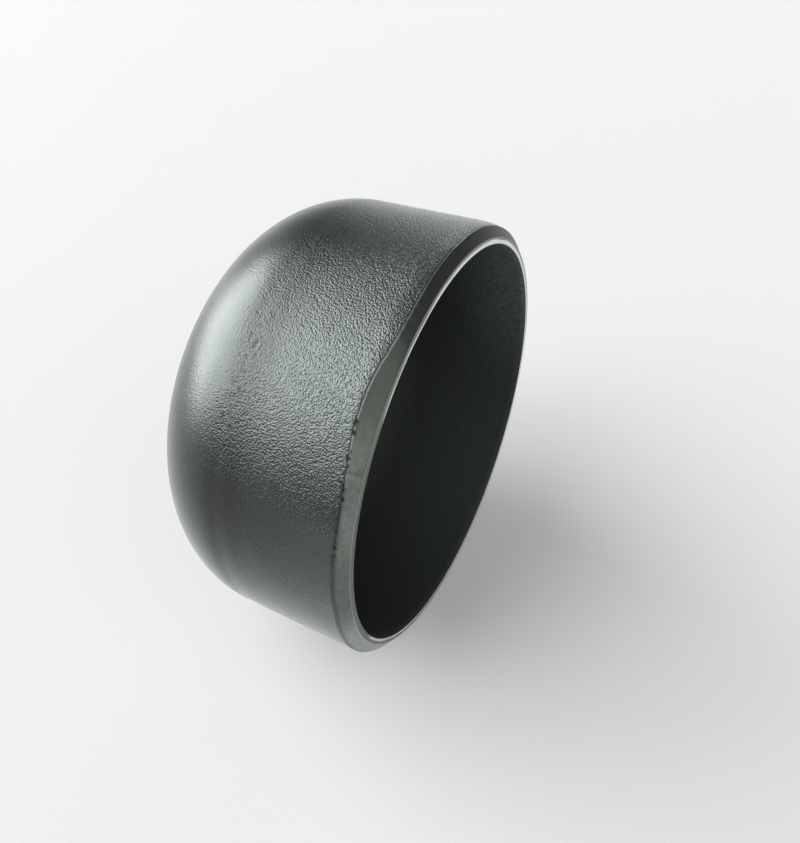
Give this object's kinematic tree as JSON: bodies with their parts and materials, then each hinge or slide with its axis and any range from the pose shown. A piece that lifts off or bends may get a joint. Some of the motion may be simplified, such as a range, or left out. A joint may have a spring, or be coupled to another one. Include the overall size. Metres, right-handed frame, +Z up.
{
  "type": "pipe cap",
  "caption": "Butt-weld pipe cap: a dished steel end with a short straight skirt and a bevelled weld edge, which closes the end of a pipe.",
  "frame": {"origin": "centre of the open mouth, in the plane of the weld face", "axes": "+X along the cap's axis, out of the mouth; +Z up, with the cap lying on its side"},
  "size_m": [0.067, 0.1142, 0.1142],
  "materials": {
    "varnished_steel": "dark grey-green mill varnish over coarse shot-blasted carbon steel, satin, with a machined weld bevel"
  },
  "bodies": {
    "root": {"cap_body": "varnished_steel"}
  },
  "joints": []
}
